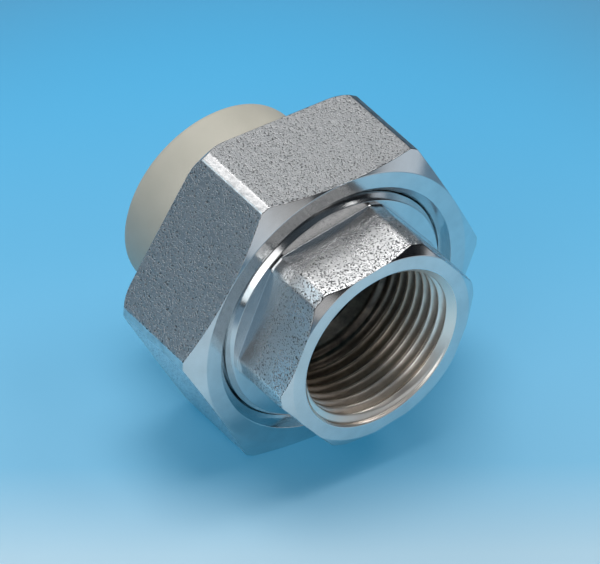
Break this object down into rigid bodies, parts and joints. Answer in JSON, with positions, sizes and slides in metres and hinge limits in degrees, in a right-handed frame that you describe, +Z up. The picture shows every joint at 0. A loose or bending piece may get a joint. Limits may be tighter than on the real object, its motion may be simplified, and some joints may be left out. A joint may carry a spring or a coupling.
{
  "type": "pipe union fitting",
  "caption": "Pipe union: chrome-plated threaded hexagon end joined by a large union nut to a plain plastic socket end, with a flat gasket.",
  "frame": {"origin": "on the pipe axis, half-way between the threaded front face and the plastic socket's end; this is also the centre of the bounding box", "axes": "+X along the pipe axis towards the threaded end; +Z up, square to one pair of the union nut's flats, so the fitting stands on a nut flat"},
  "size_m": [0.0524, 0.066, 0.058],
  "materials": {
    "plated_nut": "chrome plate over rough cast brass flats, machined front face and chamfers",
    "plated_end": "chrome plate over rough cast brass hexagon, machined collar, face and pipe thread",
    "socket_plastic": "matt grey-beige moulded plastic",
    "gasket_rubber": "matt black rubber"
  },
  "bodies": {
    "threaded_end": {"threaded_end": "plated_end", "gasket": "gasket_rubber"},
    "socket_bush": {"socket_bush": "socket_plastic"},
    "union_nut": {"union_nut": "plated_nut"}
  },
  "joints": [
    {"name": "bush_slide", "type": "slide", "parent": "threaded_end", "child": "socket_bush", "axis": [1, 0, 0], "range_m": [-0.0078, 0]},
    {"name": "nut_turn", "type": "hinge", "parent": "socket_bush", "child": "union_nut", "pos_m": [0, 0, 0], "axis": [1, 0, 0], "range_deg": [-1200, 0]}
  ],
  "couplings": [
    {"joint": "bush_slide", "follows": "nut_turn", "m_per_rad": 0.0003675}
  ]
}
